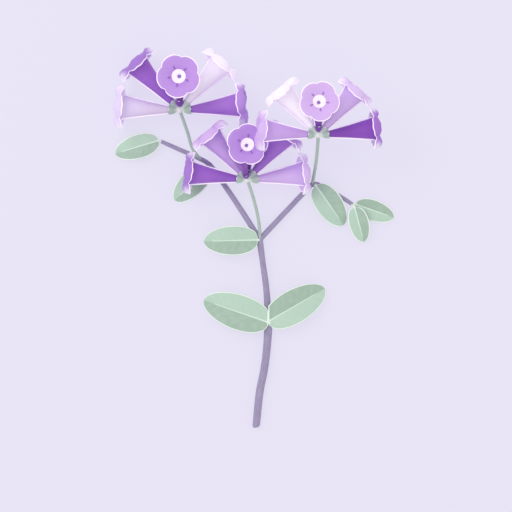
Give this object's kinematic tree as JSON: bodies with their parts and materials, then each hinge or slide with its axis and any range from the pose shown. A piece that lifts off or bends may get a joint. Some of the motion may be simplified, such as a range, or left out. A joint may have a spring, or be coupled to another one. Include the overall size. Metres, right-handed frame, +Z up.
{
  "type": "cut garlic vine sprig",
  "caption": "Cut flowering sprig of a climbing vine: a forked woody stem with oval leaves and umbels of five-lobed trumpet flowers, lying on a surface.",
  "frame": {"origin": "on the surface the sprig lies on, under the middle of its bounding box", "axes": "+X to the right in the picture, +Y along the sprig from the cut end of the stem towards the flowers, +Z up from the surface"},
  "size_m": [0.3072, 0.4144, 0.1201],
  "materials": {
    "bark": "dull, finely ridged",
    "leaf": "soft satin leaf",
    "stalk": "soft satin stalk",
    "petal": "soft matte petal",
    "bud": "soft matte bud",
    "pistil": "matte"
  },
  "bodies": {
    "root": {"leaf_fork": "leaf", "leaf_left_joint": "leaf", "leaf_left_twig_tip": "leaf", "leaf_low_left": "leaf", "leaf_low_right": "leaf", "leaf_right_joint": "leaf", "leaf_right_twig_lower": "leaf", "leaf_right_twig_tip": "leaf", "left_umbel_bud": "bud", "left_umbel_corolla_face": "petal", "left_umbel_corolla_outer_left": "petal", "left_umbel_corolla_outer_right": "petal", "left_umbel_corolla_upper_left": "petal", "left_umbel_corolla_upper_right": "petal", "left_umbel_pistil_face": "pistil", "left_umbel_pistil_outer_left": "pistil", "left_umbel_pistil_outer_right": "pistil", "left_umbel_pistil_upper_left": "pistil", "left_umbel_pistil_upper_right": "pistil", "left_umbel_stalk": "stalk", "middle_umbel_bud": "bud", "middle_umbel_corolla_face": "petal", "middle_umbel_corolla_outer_left": "petal", "middle_umbel_corolla_outer_right": "petal", "middle_umbel_corolla_upper_left": "petal", "middle_umbel_corolla_upper_right": "petal", "middle_umbel_pistil_face": "pistil", "middle_umbel_pistil_outer_left": "pistil", "middle_umbel_pistil_outer_right": "pistil", "middle_umbel_pistil_upper_left": "pistil", "middle_umbel_pistil_upper_right": "pistil", "middle_umbel_stalk": "stalk", "right_umbel_bud": "bud", "right_umbel_corolla_face": "petal", "right_umbel_corolla_outer_left": "petal", "right_umbel_corolla_outer_right": "petal", "right_umbel_corolla_upper_left": "petal", "right_umbel_corolla_upper_right": "petal", "right_umbel_pistil_face": "pistil", "right_umbel_pistil_outer_left": "pistil", "right_umbel_pistil_outer_right": "pistil", "right_umbel_pistil_upper_left": "pistil", "right_umbel_pistil_upper_right": "pistil", "right_umbel_stalk": "stalk", "vine_stem": "bark"}
  },
  "joints": []
}
